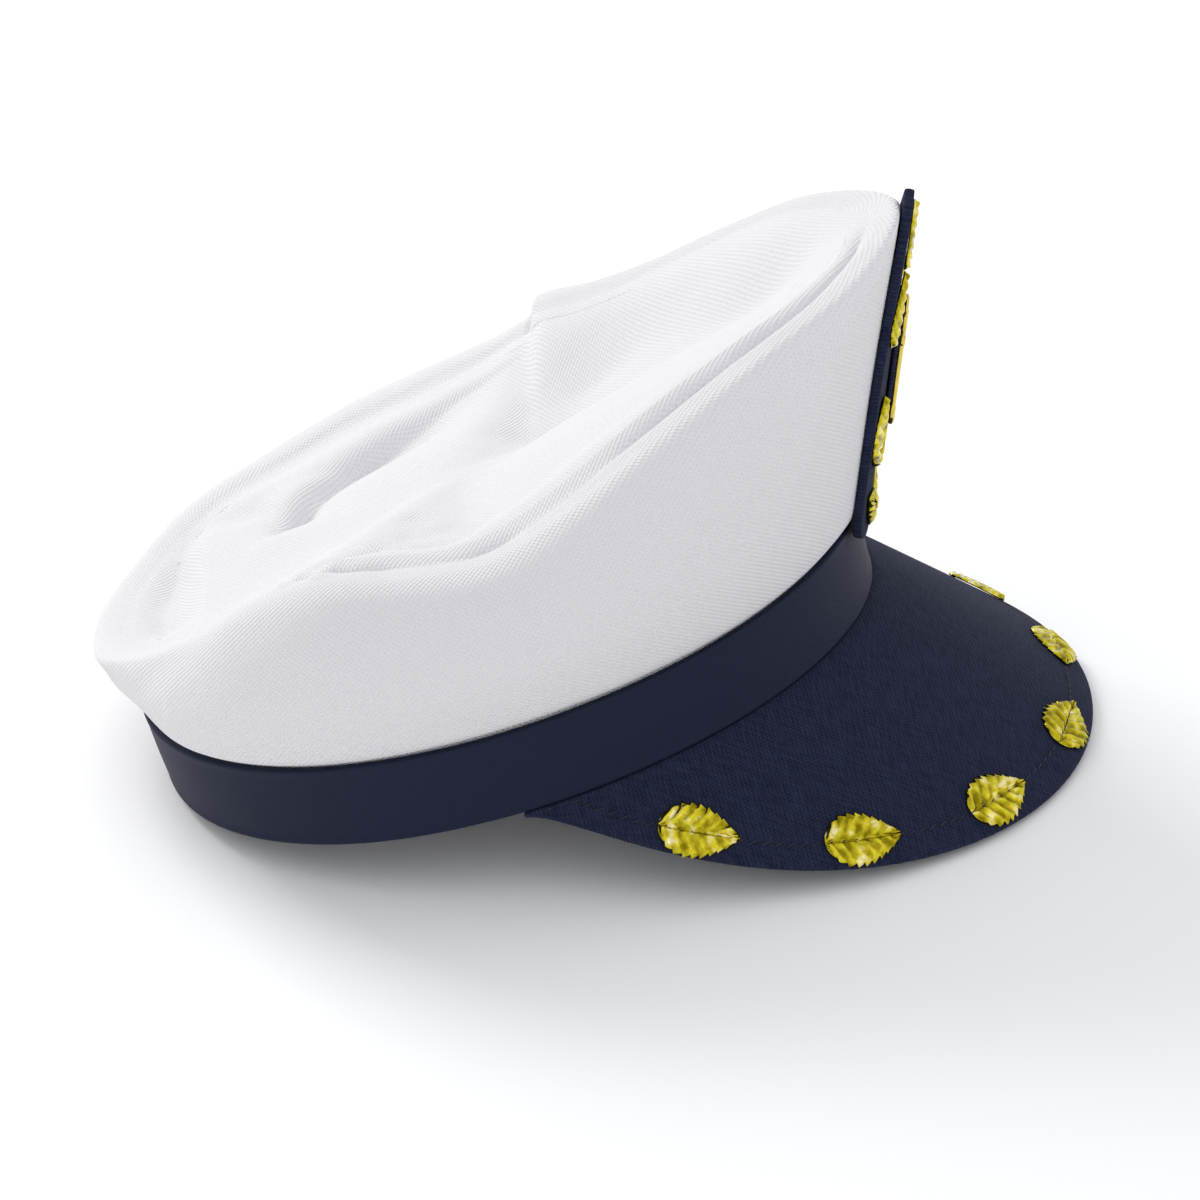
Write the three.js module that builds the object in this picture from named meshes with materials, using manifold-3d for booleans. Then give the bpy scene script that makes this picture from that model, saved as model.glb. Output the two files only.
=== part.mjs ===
// Peaked captain's hat: a soft white crown on a stiff band, a sloping peak with gold leaves,
// and a stiff board on the front with a wreath of leaves round an anchor.
// Millimetres, +Z up, -Y to the front. The hat lies on its band and its peak as it does on a table.
import Module from "manifold-3d";
import * as THREE from "three";
import { mergeVertices } from "three/addons/utils/BufferGeometryUtils.js";

const wasm = await Module();
wasm.setup();

// Driving dimensions, in the hat's own frame: the band's lower edge is z = 0
const BAND_HALF_LENGTH = 100;      // front to back, outside
const BAND_HALF_WIDTH = 88.3;      // side to side, outside
const BAND_EGG = 0.077;            // how much wider the back half is than the front half
const BAND_HEIGHT = 22.3;
const BAND_THICK = 2.4;            // stiff board with a satin ribbon round it
const GAP = 0.3;                   // clearance between pieces that touch
const CLOTH = 1.5;                 // thickness of the crown's cloth with its backing
const RING_STEPS = 54;             // facets round the head

const PEAK_HALF_ANGLE = 1.46;      // how far round the band the peak reaches each way, radians
const PEAK_WIDTH = 70;             // along the slope, at the front
const PEAK_TAPER = 2.52;           // outline: width = PEAK_WIDTH (1 - |u|^taper)^close
const PEAK_CLOSE = 1.46;
const PEAK_APEX = [0, -11.4, 91.9]; // the peak is part of a cone with its tip here
const PEAK_THICK = 2.2;
const PEAK_TUCK = 2.1;             // how far the peak reaches in under the band
const PEAK_END = 0.8;              // width left at the two ends
const PEAK_THIN = 0.45;            // the ends are pressed to this share of the thickness
const PEAK_UNDER = 0.36;           // the underside starts this share of the thickness further in

const LEAF_LENGTH = 20.5;
const LEAF_WIDTH = 14.6;
const LEAF_THICK = 0.6;
const LEAF_BLUNT = 0.35;          // half width left at a leaf's two ends
const LEAF_SPACING = 41.7;         // along the row of stitches
const LEAF_COUNT = 8;
const STITCH_INSET = 8;            // stitches and leaves lie this far inside the peak's edge

const BOARD_FOOT = [0, -102.6, 16.3]; // middle of the front board's lower edge, on its face
const BOARD_LEAN = 0.3595;         // forward lean, radians
const BOARD_HEIGHT = 92;
const BOARD_HALF_WIDTH = 20.8;
const BOARD_WIDEST = 14;           // height of the widest place; below it the corners are round
const BOARD_ROUND = 4;
const BOARD_POINT = [3.4, 0.8];    // above it the sides draw in to a blunt point
const BOARD_CURVE = 65;            // radius it is bent to round the forehead
const BOARD_THICK = 2.2;
const BOARD_EASE = 1.25;           // room for the crown's cloth behind the board

const PATCH_HEIGHTS = [27.5, 66];  // raised patch under the anchor
const PATCH_HALF_WIDTH = 8.4;
const PATCH_ROUND = 2.3;           // outline is a superellipse of this power
const PATCH_THICK = 1;
const ANCHOR_FOOT = 29.5;          // height of the anchor's lower end on the board
const ANCHOR_HEIGHT = 34.5;
const ANCHOR_THICK = 1.2;
const ANCHOR_RING = 2.1;
const ANCHOR_WIRE = 0.75;          // the ring's wire, radius
const ANCHOR_SHANK = 1.25;         // radius
const ANCHOR_STOCK = 11;           // length of the crossbar
const ANCHOR_STOCK_AT = 0.7;       // how far up the shank it sits
const ANCHOR_STOCK_BAR = 0.95;     // radius
const ANCHOR_STOCK_KNOB = 1.6;
const ANCHOR_MIDDLE_KNOB = 1.9;
const ANCHOR_ARMS = 6.4;           // radius the two arms are bent to
const ANCHOR_FLUKE = [2.2, 1.6, 3.6]; // half width, then reach below and above its middle
const ANCHOR_FLUKE_TURN = 0.35;

// Leaves of the wreath, one row each: middle of the leaf across and up the board, how far its tip
// leans from straight up in radians, and its size beside a peak leaf, along and across
const BOARD_LEAVES = [
  { w: -9.6, h: 8.6, turn: -0.9, long: 0.8, wide: 0.66 },
  { w: -13.6, h: 31.5, turn: -0.06, long: 0.98, wide: 0.84 },
  { w: -11, h: 64, turn: 0.47, long: 0.95, wide: 0.62 },
  { w: 0, h: 80, turn: 0, long: 0.92, wide: 0.66 },
  { w: 11, h: 64, turn: -0.47, long: 0.95, wide: 0.62 },
  { w: 13.6, h: 31.5, turn: 0.06, long: 0.98, wide: 0.84 },
  { w: 9.6, h: 8.6, turn: 0.9, long: 0.8, wide: 0.66 },
];

const SEAM_DEPTH = 4;              // seam allowances turned down inside the crown
const SEAM_INSIDE = 10;            // the seam lies this far in from the rim
const HEM_DEPTH = 9;               // crown cloth tucked down inside the band
const LIP_HEIGHT = 4;              // above the band, where the cloth has come out over its edge
const WALL = [[0.3, 0.82], [0.62, 0.9], [0.88, 0.45]]; // share of the way up, share of the swell

// The crown's rim, one row for each angle round the head from the front towards the wearer's right:
// distance from the middle, height, how far the wall swells out beyond a straight line,
// how far the cloth hangs out over the band's upper edge, and the drop from rim to seam
const RIM_COLUMNS = { angle: 0, radius: 1, height: 2, swell: 3, lip: 4, drop: 5 };
const RIM = [
  [0, 131, 99.5, 2.5, 0.2, 3.5],
  [15, 123.5, 94.5, 3.5, 0.8, 3.5],
  [30, 106.5, 87.5, 5, 1.2, 3.5],
  [45, 94, 79, 6, 1.3, 3],
  [60, 86, 70, 6.5, 1.3, 3],
  [75, 82, 64, 7, 1.3, 3],
  [90, 82, 66, 7, 1.3, 3],
  [105, 83, 69, 7, 1.3, 3.5],
  [120, 84.5, 65, 7, 1.3, 3],
  [135, 88, 55, 5, 0.8, 2.5],
  [150, 96, 46, 2, -0.8, 2.5],
  [165, 104, 40, 2.5, -1.6, 2.5],
  [180, 107.5, 38.5, 4, -1.6, 2.5],
  [195, 107.5, 39, 5, -1.2, 2.5],
  [210, 103.5, 43, 6.5, 0.6, 3],
  [225, 96.5, 45.5, 7, 1.2, 3.5],
  [240, 89, 50.5, 7, 1.3, 4],
  [255, 82, 55, 7, 1.3, 4],
  [270, 78.5, 60.5, 7, 1.3, 4],
  [285, 77.5, 69, 7, 1.3, 4],
  [300, 78.5, 73.5, 7, 1.3, 4],
  [315, 86, 79, 6, 1.3, 3.5],
  [330, 98.5, 87.5, 5, 1.2, 3.5],
  [345, 115, 96.5, 3.5, 0.8, 3.5],
];

// Folds in the crown's top, one row each: a line from (x1, y1) to (x2, y2), its depth,
// how fast it dies away on each side, how rounded its bottom is, and how far its ends fade
const FOLDS = [
  { x1: 2, y1: -118, x2: 22, y2: -22, depth: 12, right: 42, left: 26, soft: 3, fade: 26 },
  { x1: 50, y1: 18, x2: 44, y2: 62, depth: 7, right: 16, left: 7, soft: 1.5, fade: 16 },
  { x1: -54, y1: 26, x2: -57, y2: -6, depth: 4, right: 6, left: 9, soft: 2, fade: 12 },
];
const TOP_MIDDLE = 55;             // height of the top cloth at the middle of the crown

function finish(color, roughness, metalness) {
  return new THREE.MeshStandardMaterial({ color, roughness, metalness });
}
const WHITE_CLOTH = finish(0xe9e6ea, 0.9, 0);
const NAVY_SATIN = finish(0x16203c, 0.45, 0);
const NAVY_TWILL = finish(0x141a33, 0.85, 0);
const GOLD_FOIL = finish(0xc9b43a, 0.25, 1);
const GOLD_METAL = finish(0xbfa53c, 0.35, 1);

const mix = (a, b, t) => a + (b - a) * t;
const clamp01 = (t) => Math.min(1, Math.max(0, t));
const smooth = (t) => clamp01(t) ** 2 * (3 - 2 * clamp01(t));

// A point on the egg-shaped band line. Angle 0 is the front, positive towards the wearer's right (-X)
function bandPoint(angle, grow, z) {
  const c = Math.cos(angle);
  const s = Math.sin(angle);
  const wide = (BAND_HALF_WIDTH + grow) * (1 - BAND_EGG * c);
  return new THREE.Vector3(-wide * s, -(BAND_HALF_LENGTH + grow) * c, z);
}

// Closed body between two grids of points, an outer skin and an inner one, with a wall round the
// open edges. Rows may close on themselves, and the last column may be a single point.
function shell(outer, inner, { ring = false, pole = false } = {}) {
  const rows = outer.length;
  const columns = outer[0].length;
  const positions = [];
  const tri = (a, b, c) => positions.push(a.x, a.y, a.z, b.x, b.y, b.z, c.x, c.y, c.z);
  const quad = (a, b, c, d) => {
    tri(a, b, c);
    tri(a, c, d);
  };
  const next = (i) => (i + 1) % rows;
  const lastRow = ring ? rows : rows - 1;
  for (let i = 0; i < lastRow; i += 1) {
    for (let j = 0; j < columns - 1; j += 1) {
      if (pole && j === columns - 2) {
        tri(outer[i][j], outer[next(i)][j], outer[i][j + 1]);
        tri(inner[i][j], inner[i][j + 1], inner[next(i)][j]);
      } else {
        quad(outer[i][j], outer[next(i)][j], outer[next(i)][j + 1], outer[i][j + 1]);
        quad(inner[i][j], inner[i][j + 1], inner[next(i)][j + 1], inner[next(i)][j]);
      }
    }
    quad(outer[i][0], inner[i][0], inner[next(i)][0], outer[next(i)][0]);
    if (!pole) {
      const k = columns - 1;
      quad(outer[i][k], outer[next(i)][k], inner[next(i)][k], inner[i][k]);
    }
  }
  if (!ring) {
    for (let j = 0; j < columns - 1; j += 1) {
      quad(outer[0][j], outer[0][j + 1], inner[0][j + 1], inner[0][j]);
      const k = rows - 1;
      quad(outer[k][j], inner[k][j], inner[k][j + 1], outer[k][j + 1]);
    }
  }
  const geometry = new THREE.BufferGeometry();
  geometry.setAttribute("position", new THREE.Float32BufferAttribute(positions, 3));
  const merged = mergeVertices(geometry, 1e-4);
  merged.computeVertexNormals();
  return merged;
}

function piece(name, geometry, material) {
  const mesh = new THREE.Mesh(geometry, material);
  mesh.name = name;
  return mesh;
}

// Rim values at any angle, by a closed Catmull-Rom curve through the table's rows
function rimAt(angle) {
  const step = 360 / RIM.length;
  const turns = (((angle * 180) / Math.PI / step) % RIM.length + RIM.length) % RIM.length;
  const i = Math.floor(turns);
  const t = turns - i;
  const row = (k) => RIM[(i + k + RIM.length) % RIM.length];
  const value = (column) => {
    const [a, b, c, d] = [row(-1)[column], row(0)[column], row(1)[column], row(2)[column]];
    const linear = 0.5 * (c - a);
    const square = a - 2.5 * b + 2 * c - 0.5 * d;
    const cube = 0.5 * (d - a) + 1.5 * (b - c);
    return b + linear * t + square * t ** 2 + cube * t ** 3;
  };
  return {
    radius: value(RIM_COLUMNS.radius),
    height: value(RIM_COLUMNS.height),
    swell: value(RIM_COLUMNS.swell),
    lip: value(RIM_COLUMNS.lip),
    drop: value(RIM_COLUMNS.drop),
  };
}

// Radius of the band line along a polar angle, so that band and crown share their rays
function bandAngle(polar) {
  let angle = polar;
  for (let k = 0; k < 8; k += 1) {
    const p = bandPoint(angle, 0, 0);
    const error = Math.atan2(-p.x, -p.y) - polar;
    angle -= Math.atan2(Math.sin(error), Math.cos(error));
  }
  return angle;
}

function bandRadius(polar, grow) {
  const p = bandPoint(bandAngle(polar), grow, 0);
  return Math.hypot(p.x, p.y);
}

// How far the folds pull the top down at (x, y)
function foldDepth(x, y) {
  let depth = 0;
  for (const f of FOLDS) {
    const length = Math.hypot(f.x2 - f.x1, f.y2 - f.y1);
    const ux = (f.x2 - f.x1) / length;
    const uy = (f.y2 - f.y1) / length;
    const along = (x - f.x1) * ux + (y - f.y1) * uy;
    const across = -(x - f.x1) * uy + (y - f.y1) * ux;
    const reach = across > 0 ? f.left : f.right;
    const ends = smooth((along + f.fade) / f.fade) * smooth((length + f.fade - along) / f.fade);
    depth += f.depth * ends * Math.exp(-(Math.hypot(across, f.soft) - f.soft) / reach);
  }
  return depth;
}

// Points along a smooth line through the given ones, in the plane of one ray: x is the distance
// from the middle and y is the height
function through(points, steps) {
  const curve = new THREE.SplineCurve(points.map(([x, y]) => new THREE.Vector2(x, y)));
  const spread = [];
  const total = points.length - 1;
  for (let k = 0; k < points.length - 1; k += 1) {
    for (let m = 0; m < steps[k]; m += 1) spread.push(curve.getPoint((k + m / steps[k]) / total));
  }
  spread.push(curve.getPoint(1));
  return spread;
}

// The line offset to one side, still in the ray's plane
function beside(line, distance) {
  return line.map((p, i) => {
    const a = line[Math.max(i - 1, 0)];
    const b = line[Math.min(i + 1, line.length - 1)];
    const run = Math.hypot(b.x - a.x, b.y - a.y);
    const across = [(b.y - a.y) / run, (b.x - a.x) / run];
    return new THREE.Vector2(p.x + across[0] * distance, p.y - across[1] * distance);
  });
}

const onRay = (polar, p) => new THREE.Vector3(-p.x * Math.sin(polar), -p.x * Math.cos(polar), p.y);

// Where the side wall and the top are sewn together, on one ray
function seam(polar) {
  const rim = rimAt(polar);
  return [rim.radius - SEAM_INSIDE, rim.height - rim.drop];
}

// How far from the middle the crown's cloth may reach on one ray before it meets the board's back,
// which is taken as a parabola across the hat
function behindBoard(polar, height) {
  const level = BOARD_THICK / Math.cos(BOARD_LEAN) + (GAP + CLOTH / 2) * BOARD_EASE;
  const back = -BOARD_FOOT[1] + (height - BOARD_FOOT[2]) * Math.tan(BOARD_LEAN) - level;
  const bend = Math.sin(polar) ** 2 / (2 * BOARD_CURVE);
  const ahead = Math.cos(polar);
  if (ahead <= 0.2) return Infinity;
  return (2 * back) / (ahead + Math.sqrt(ahead ** 2 + 4 * bend * back));
}

// Middle line of the side wall's cloth: up out of the band, over the rim and down into the seam
function sideLine(polar) {
  const rim = rimAt(polar);
  const outside = bandRadius(polar, 0);
  const hem = outside - BAND_THICK - GAP - CLOTH / 2;
  const foot = [outside + rim.lip, BAND_HEIGHT + LIP_HEIGHT];
  const lean = [rim.radius - foot[0], rim.height - foot[1]];
  const tall = Math.hypot(lean[0], lean[1]);
  const out = [lean[1] / tall, -lean[0] / tall];
  const wall = WALL.map(([up, swell]) => [
    foot[0] + lean[0] * up + out[0] * rim.swell * swell,
    foot[1] + lean[1] * up + out[1] * rim.swell * swell,
  ]);
  const [seamRadius, seamHeight] = seam(polar);
  const line = through([
    [hem, BAND_HEIGHT - HEM_DEPTH],
    [hem, BAND_HEIGHT - 1.2],
    [hem + 0.6, BAND_HEIGHT + 2],
    foot,
    ...wall,
    [rim.radius - 0.8, rim.height - 0.8],
    [rim.radius - 5.5, rim.height - 0.3 - rim.drop * 0.25],
    [seamRadius + 1.2, seamHeight + 0.3],
    [seamRadius + CLOTH / 2, seamHeight - SEAM_DEPTH],
  ], [1, 1, 1, 2, 3, 2, 2, 2, 1, 1]);
  return line.map((p) => new THREE.Vector2(Math.min(p.x, behindBoard(polar, p.y)), p.y));
}

// Middle line of the top cloth on one ray, from the seam in to the middle of the crown
function topLine(polar) {
  const [seamRadius, seamHeight] = seam(polar);
  const edge = seamRadius - CLOTH / 2 - GAP;
  const start = seamRadius - 4;
  const line = [
    new THREE.Vector2(edge, seamHeight - SEAM_DEPTH),
    new THREE.Vector2(edge - 0.1, seamHeight - 0.9),
    new THREE.Vector2(edge - 1.3, seamHeight + 0.5),
  ];
  const steps = 10;
  for (let k = 0; k < steps; k += 1) {
    const t = k / steps;
    const radius = start * (1 - t);
    const base = mix(seamHeight + 0.9, TOP_MIDDLE, t ** 0.9);
    const fold = foldDepth(-radius * Math.sin(polar), -radius * Math.cos(polar));
    line.push(new THREE.Vector2(radius, base - fold * smooth(k / 2.5)));
  }
  return line;
}

const rays = Array.from({ length: RING_STEPS }, (_, i) => (-i / RING_STEPS) * 2 * Math.PI);

function crownSide() {
  const outer = rays.map((a) => beside(sideLine(a), CLOTH / 2).map((p) => onRay(a, p)));
  const inner = rays.map((a) => beside(sideLine(a), -CLOTH / 2).map((p) => onRay(a, p)));
  return shell(outer, inner, { ring: true });
}

function crownTop() {
  const middle = TOP_MIDDLE - foldDepth(0, 0);
  const skin = (side) => rays.map((a) => {
    const points = beside(topLine(a), (side * CLOTH) / 2).map((p) => onRay(a, p));
    points.push(new THREE.Vector3(0, 0, middle + (side * CLOTH) / 2));
    return points;
  });
  return shell(skin(1), skin(-1), { ring: true, pole: true });
}

function band() {
  const skin = (grow) => rays.map((a) => [0, 0.5, 1].map((t) => {
    const radius = bandRadius(a, grow);
    return onRay(a, { x: radius, y: BAND_HEIGHT * t });
  }));
  return shell(skin(0), skin(-BAND_THICK), { ring: true });
}

// The peak's slope: u runs along it from -1 to 1, and across is the distance out from the band
function peakFrame(u) {
  const edge = bandPoint(u * PEAK_HALF_ANGLE, 0, -GAP);
  const slope = edge.clone().sub(new THREE.Vector3(...PEAK_APEX)).normalize();
  const flat = new THREE.Vector3(slope.x, slope.y, 0).normalize();
  const width = PEAK_END + PEAK_WIDTH * (1 - Math.abs(u) ** PEAK_TAPER) ** PEAK_CLOSE;
  return { edge, slope, flat, width };
}

function peakPoint(u, across, lift) {
  const { edge, slope, flat } = peakFrame(u);
  const level = Math.hypot(slope.x, slope.y);
  const point = edge.clone().addScaledVector(slope, across);
  point.addScaledVector(flat, -slope.z * lift);
  point.z += level * lift;
  return point;
}

function peak() {
  const along = 56;
  const across = 6;
  const outer = [];
  const inner = [];
  for (let i = 0; i <= along; i += 1) {
    const u = -1 + (2 * i) / along;
    const thick = PEAK_THICK * mix(PEAK_THIN, 1, smooth((1 - Math.abs(u)) / 0.2));
    const { edge, flat, width } = peakFrame(u);
    const tuck = edge.clone().addScaledVector(flat, -PEAK_TUCK);
    const under = tuck.clone();
    under.z -= thick;
    const top = [tuck];
    const bottom = [under];
    for (let j = 0; j <= across; j += 1) {
      const out = (width * j) / across;
      top.push(peakPoint(u, out, 0));
      bottom.push(peakPoint(u, j === 0 ? -PEAK_UNDER * thick : out, -thick));
    }
    outer.push(top);
    inner.push(bottom);
  }
  return shell(outer, inner);
}

// Half width of a leaf at t from its stalk, 0, to its tip, 1
function leafHalfWidth(t) {
  return (LEAF_WIDTH / 2) * Math.sin(Math.PI * t ** 0.68) ** 0.8;
}

// A leaf laid on any surface: place(along, across, lift) gives a point over it
function leaf(place, long = 1, wide = 1) {
  const lengths = [0, 0.1, 0.3, 0.52, 0.78, 1];
  const widths = [1, 0, -1];
  const skin = (lift) => lengths.map((t) => widths.map((w) => {
    const across = w * (leafHalfWidth(t) + LEAF_BLUNT) * wide;
    return place((t - 0.5) * LEAF_LENGTH * long, across, lift);
  }));
  return shell(skin(GAP + LEAF_THICK), skin(GAP));
}

// Lengths along the row of stitches, from the peak's middle to its end
function stitchTable() {
  const steps = 400;
  const table = [{ u: 0, length: 0 }];
  let last = stitchPoint(0);
  for (let i = 1; i <= steps; i += 1) {
    const u = i / steps;
    const point = stitchPoint(u);
    table.push({ u, length: table[i - 1].length + point.distanceTo(last) });
    last = point;
  }
  return table;
}

function stitchPoint(u) {
  return peakPoint(u, Math.max(peakFrame(u).width - STITCH_INSET, 0), 0);
}

function stitchPosition(table, length) {
  const reach = Math.abs(length);
  const i = Math.max(1, table.findIndex((row) => row.length >= reach));
  const [a, b] = [table[i - 1], table[i]];
  return Math.sign(length) * mix(a.u, b.u, (reach - a.length) / (b.length - a.length));
}

// A point moved square onto the peak's cone, and lifted off it
function overPeak(point, lift) {
  const from = point.clone().sub(new THREE.Vector3(...PEAK_APEX));
  const heading = (v) => Math.atan2(-v.x, -v.y);
  let low = -1;
  let high = 1;
  for (let k = 0; k < 40; k += 1) {
    const middle = (low + high) / 2;
    if (heading(peakFrame(middle).slope) < heading(from)) low = middle;
    else high = middle;
  }
  const { edge, slope } = peakFrame(low);
  return peakPoint(low, point.clone().sub(edge).dot(slope), lift);
}

// The leaves lie along the stitches, their tips towards the front
function peakLeaf(table, index) {
  const middle = (index - (LEAF_COUNT - 1) / 2) * LEAF_SPACING;
  const forward = -Math.sign(middle);
  const centre = stitchPoint(stitchPosition(table, middle));
  const ahead = stitchPoint(stitchPosition(table, middle + forward));
  const run = ahead.sub(centre).normalize();
  const { slope } = peakFrame(stitchPosition(table, middle));
  const side = slope.clone().addScaledVector(run, -slope.dot(run)).normalize();
  const place = (along, across, lift) => {
    const flat = centre.clone().addScaledVector(run, along).addScaledVector(side, across * -forward);
    return overPeak(flat, lift);
  };
  return leaf(place);
}

// A point on the front board: w across it, h up it, d out from its face
function boardPoint(w, h, d) {
  const turn = w / BOARD_CURVE;
  const out = d * Math.cos(turn) - BOARD_CURVE * (1 - Math.cos(turn));
  const sine = Math.sin(BOARD_LEAN);
  const cosine = Math.cos(BOARD_LEAN);
  return new THREE.Vector3(
    BOARD_FOOT[0] + (BOARD_CURVE + d) * Math.sin(turn),
    BOARD_FOOT[1] - h * sine - out * cosine,
    BOARD_FOOT[2] + h * cosine - out * sine,
  );
}

function boardHalfWidth(h) {
  if (h < BOARD_WIDEST) {
    const down = (BOARD_WIDEST - h) / BOARD_WIDEST;
    return BOARD_HALF_WIDTH * (1 - down ** BOARD_ROUND) ** (1 / BOARD_ROUND);
  }
  const up = (h - BOARD_WIDEST) / (BOARD_HEIGHT - BOARD_WIDEST);
  return BOARD_HALF_WIDTH * (1 - up ** BOARD_POINT[0]) ** BOARD_POINT[1];
}

// A plate on the board's curve: heights from low to high, with a half width at each
function curvedPlate(low, high, halfWidth, near, far) {
  const rows = 16;
  const columns = 6;
  const skin = (depth) => Array.from({ length: rows + 1 }, (_, i) => {
    const share = (1 - Math.cos(Math.PI * mix(0.03, 0.97, i / rows))) / 2;
    const h = mix(low, high, share);
    const across = Array.from({ length: columns + 1 }, (__, j) => mix(1, -1, j / columns));
    return across.map((w) => boardPoint(w * halfWidth(h), h, depth));
  });
  return shell(skin(far), skin(near));
}

function frontBoard() {
  return curvedPlate(0, BOARD_HEIGHT, boardHalfWidth, -BOARD_THICK, 0);
}

function badgePatch() {
  const [low, high] = PATCH_HEIGHTS;
  const halfWidth = (h) => {
    const t = Math.abs((2 * (h - low)) / (high - low) - 1);
    return PATCH_HALF_WIDTH * Math.max(1 - t ** PATCH_ROUND, 0.02) ** (1 / PATCH_ROUND);
  };
  return curvedPlate(low, high, halfWidth, GAP, GAP + PATCH_THICK);
}

function boardLeaf({ w, h, turn, long, wide }) {
  const place = (along, across, lift) => boardPoint(
    w + along * Math.sin(turn) + across * Math.cos(turn),
    h + along * Math.cos(turn) - across * Math.sin(turn),
    lift,
  );
  return leaf(place, long, wide);
}

// The anchor, cast in one: ring, stock, shank, and arms that end in flukes. It is drawn flat with
// x across and y up, and each point is then bent onto the patch
function anchor() {
  const half = ANCHOR_THICK / 2;
  const lump = (geometry, x, y, turn = 0) => {
    geometry.rotateZ(turn);
    geometry.translate(x, y, half);
    return solid(geometry);
  };
  const proud = 1.2;
  const bar = (radius, length) => {
    const round = new THREE.CylinderGeometry(radius, radius, length, 8, 6);
    return round.scale(1, 1, half / radius);
  };
  const knob = (radius) => {
    const round = new THREE.SphereGeometry(radius, 8, 6);
    return round.scale(1, 1, (half * proud) / radius);
  };
  const plate = (shape, thick) => {
    const settings = { depth: thick, bevelEnabled: false, curveSegments: 10 };
    return new THREE.ExtrudeGeometry(shape, settings).translate(0, 0, -thick / 2);
  };
  const wire = Array.from({ length: 9 }, (_, i) => {
    const a = ((i % 8) / 8) * 2 * Math.PI;
    return new THREE.Vector2(ANCHOR_RING + ANCHOR_WIRE * Math.cos(a), ANCHOR_WIRE * Math.sin(a));
  });
  const top = ANCHOR_HEIGHT - ANCHOR_RING - ANCHOR_WIRE;
  const shank = top - ANCHOR_RING;
  const stock = ANCHOR_HEIGHT * ANCHOR_STOCK_AT;
  const arms = new THREE.Shape();
  arms.absarc(0, ANCHOR_ARMS, ANCHOR_ARMS, Math.PI * 1.08, Math.PI * 1.92, false);
  arms.absarc(0, ANCHOR_ARMS * 1.12, ANCHOR_ARMS * 0.84, Math.PI * 1.88, Math.PI * 1.12, true);
  let body = lump(new THREE.LatheGeometry(wire, 14).rotateX(Math.PI / 2), 0, top);
  const parts = [
    lump(bar(ANCHOR_SHANK, shank), 0, shank / 2 + half),
    lump(bar(ANCHOR_STOCK_BAR, ANCHOR_STOCK), 0, stock, Math.PI / 2),
    lump(knob(ANCHOR_STOCK_KNOB), -ANCHOR_STOCK / 2, stock),
    lump(knob(ANCHOR_STOCK_KNOB), ANCHOR_STOCK / 2, stock),
    lump(knob(ANCHOR_MIDDLE_KNOB), 0, stock),
    lump(plate(arms, ANCHOR_THICK * 0.9), 0, 0),
  ];
  const [halfWidth, below, above] = ANCHOR_FLUKE;
  for (const side of [-1, 1]) {
    const corners = [[-halfWidth, -below], [halfWidth, -below], [0, above]];
    const fluke = new THREE.Shape(corners.map(([x, y]) => new THREE.Vector2(x, y)));
    const at = [side * ANCHOR_ARMS * 0.93, ANCHOR_ARMS * 0.74];
    parts.push(lump(plate(fluke, ANCHOR_THICK), at[0], at[1], -side * ANCHOR_FLUKE_TURN));
  }
  for (const part of parts) body = body.add(part);
  const { vertProperties, triVerts } = body.getMesh();
  const bent = [];
  for (let i = 0; i < vertProperties.length; i += 3) {
    const [x, y, z] = vertProperties.slice(i, i + 3);
    const lift = GAP * 2 + PATCH_THICK + z + half * (proud - 1);
    bent.push(...boardPoint(x, ANCHOR_FOOT + y, lift).toArray());
  }
  const geometry = new THREE.BufferGeometry();
  geometry.setAttribute("position", new THREE.Float32BufferAttribute(bent, 3));
  geometry.setIndex(Array.from(triVerts));
  geometry.computeVertexNormals();
  return geometry;
}

// A closed geometry as a solid that can be joined
function solid(geometry) {
  const bare = new THREE.BufferGeometry();
  bare.setAttribute("position", geometry.getAttribute("position"));
  if (geometry.index) bare.setIndex(geometry.index);
  const merged = mergeVertices(bare, 1e-4);
  return new wasm.Manifold(new wasm.Mesh({
    numProp: 3,
    vertProperties: new Float32Array(merged.getAttribute("position").array),
    triVerts: new Uint32Array(merged.index.array),
  }));
}

const pieces = new THREE.Group();
pieces.add(piece("crown_side", crownSide(), WHITE_CLOTH));
pieces.add(piece("crown_top", crownTop(), WHITE_CLOTH));
pieces.add(piece("band", band(), NAVY_SATIN));
pieces.add(piece("peak", peak(), NAVY_TWILL));
const stitches = stitchTable();
for (let i = 0; i < LEAF_COUNT; i += 1) {
  pieces.add(piece(`peak_leaf_${i + 1}`, peakLeaf(stitches, i), GOLD_FOIL));
}
pieces.add(piece("front_board", frontBoard(), NAVY_TWILL));
BOARD_LEAVES.forEach((row, i) => pieces.add(piece(`board_leaf_${i + 1}`, boardLeaf(row), GOLD_FOIL)));
pieces.add(piece("badge_patch", badgePatch(), NAVY_TWILL));
pieces.add(piece("anchor_badge", anchor(), GOLD_METAL));

// Height of a piece's lowest point when the whole hat is tipped back by an angle
function lowest(name, tilt) {
  const at = pieces.getObjectByName(name).geometry.getAttribute("position");
  let low = Infinity;
  for (let i = 0; i < at.count; i += 1) {
    low = Math.min(low, at.getZ(i) * Math.cos(tilt) - at.getY(i) * Math.sin(tilt));
  }
  return low;
}

// The hat lies on the back of its band and on both sides of its peak: the tilt that levels them
function restingTilt() {
  let low = 0.05;
  let high = 0.5;
  for (let k = 0; k < 40; k += 1) {
    const middle = (low + high) / 2;
    if (lowest("peak", middle) < lowest("band", middle)) low = middle;
    else high = middle;
  }
  return low;
}

pieces.rotation.x = -restingTilt();
const hat = new THREE.Group();
hat.add(pieces);
const box = new THREE.Box3().setFromObject(hat, true);
const middle = box.getCenter(new THREE.Vector3());
hat.position.set(-middle.x, -middle.y, -box.min.z);

export default hat;
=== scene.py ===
import math

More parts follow.
